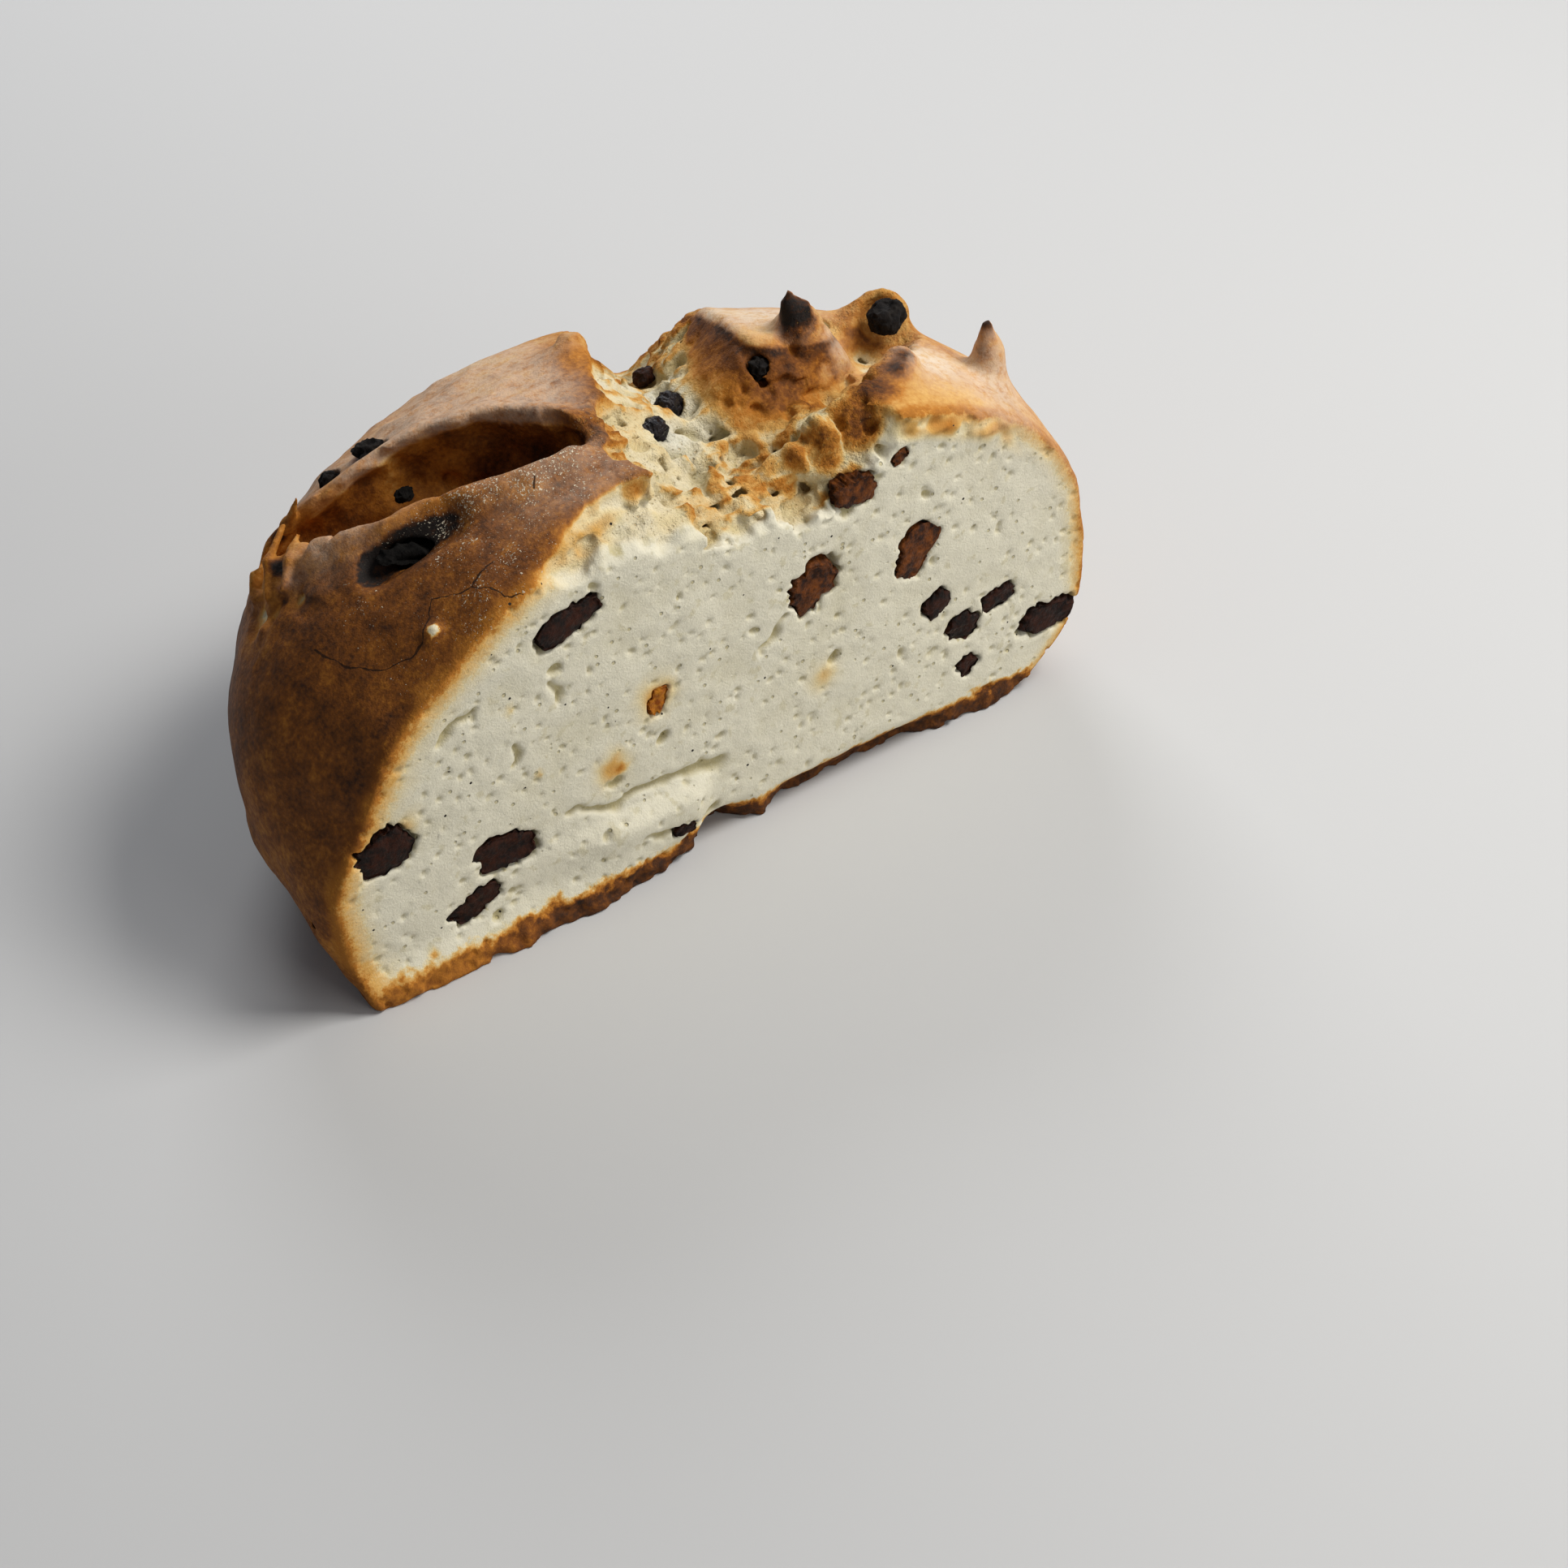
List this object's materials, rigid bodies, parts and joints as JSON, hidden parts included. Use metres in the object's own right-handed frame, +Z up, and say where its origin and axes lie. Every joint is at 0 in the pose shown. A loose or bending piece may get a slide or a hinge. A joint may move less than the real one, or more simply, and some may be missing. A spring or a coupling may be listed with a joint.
{
  "type": "cut round raisin bread loaf",
  "caption": "Larger part of a round, slashed raisin bread loaf with a flat cut face, a torn open crown, browned peaks and raisins.",
  "frame": {"origin": "on the flat base, under the middle of the whole loaf that the part was cut from", "axes": "+X along the cut face to its right end, -Y out of the cut face, +Z up"},
  "size_m": [0.1722, 0.0907, 0.0852],
  "materials": {
    "bread": "matte browned crust with a pale cream crumb on the cut face",
    "raisin": "dark wrinkled raisin skin, slightly shiny"
  },
  "bodies": {
    "root": {"loaf": "bread", "raisin_01": "raisin", "raisin_02": "raisin", "raisin_03": "raisin", "raisin_04": "raisin", "raisin_05": "raisin", "raisin_06": "raisin", "raisin_07": "raisin", "raisin_08": "raisin", "raisin_09": "raisin", "raisin_10": "raisin", "raisin_11": "raisin", "raisin_12": "raisin", "raisin_13": "raisin", "raisin_14": "raisin", "raisin_15": "raisin", "raisin_16": "raisin", "raisin_17": "raisin", "raisin_18": "raisin", "raisin_19": "raisin", "raisin_20": "raisin", "raisin_21": "raisin", "raisin_22": "raisin", "raisin_23": "raisin", "raisin_24": "raisin", "raisin_25": "raisin"}
  },
  "joints": []
}
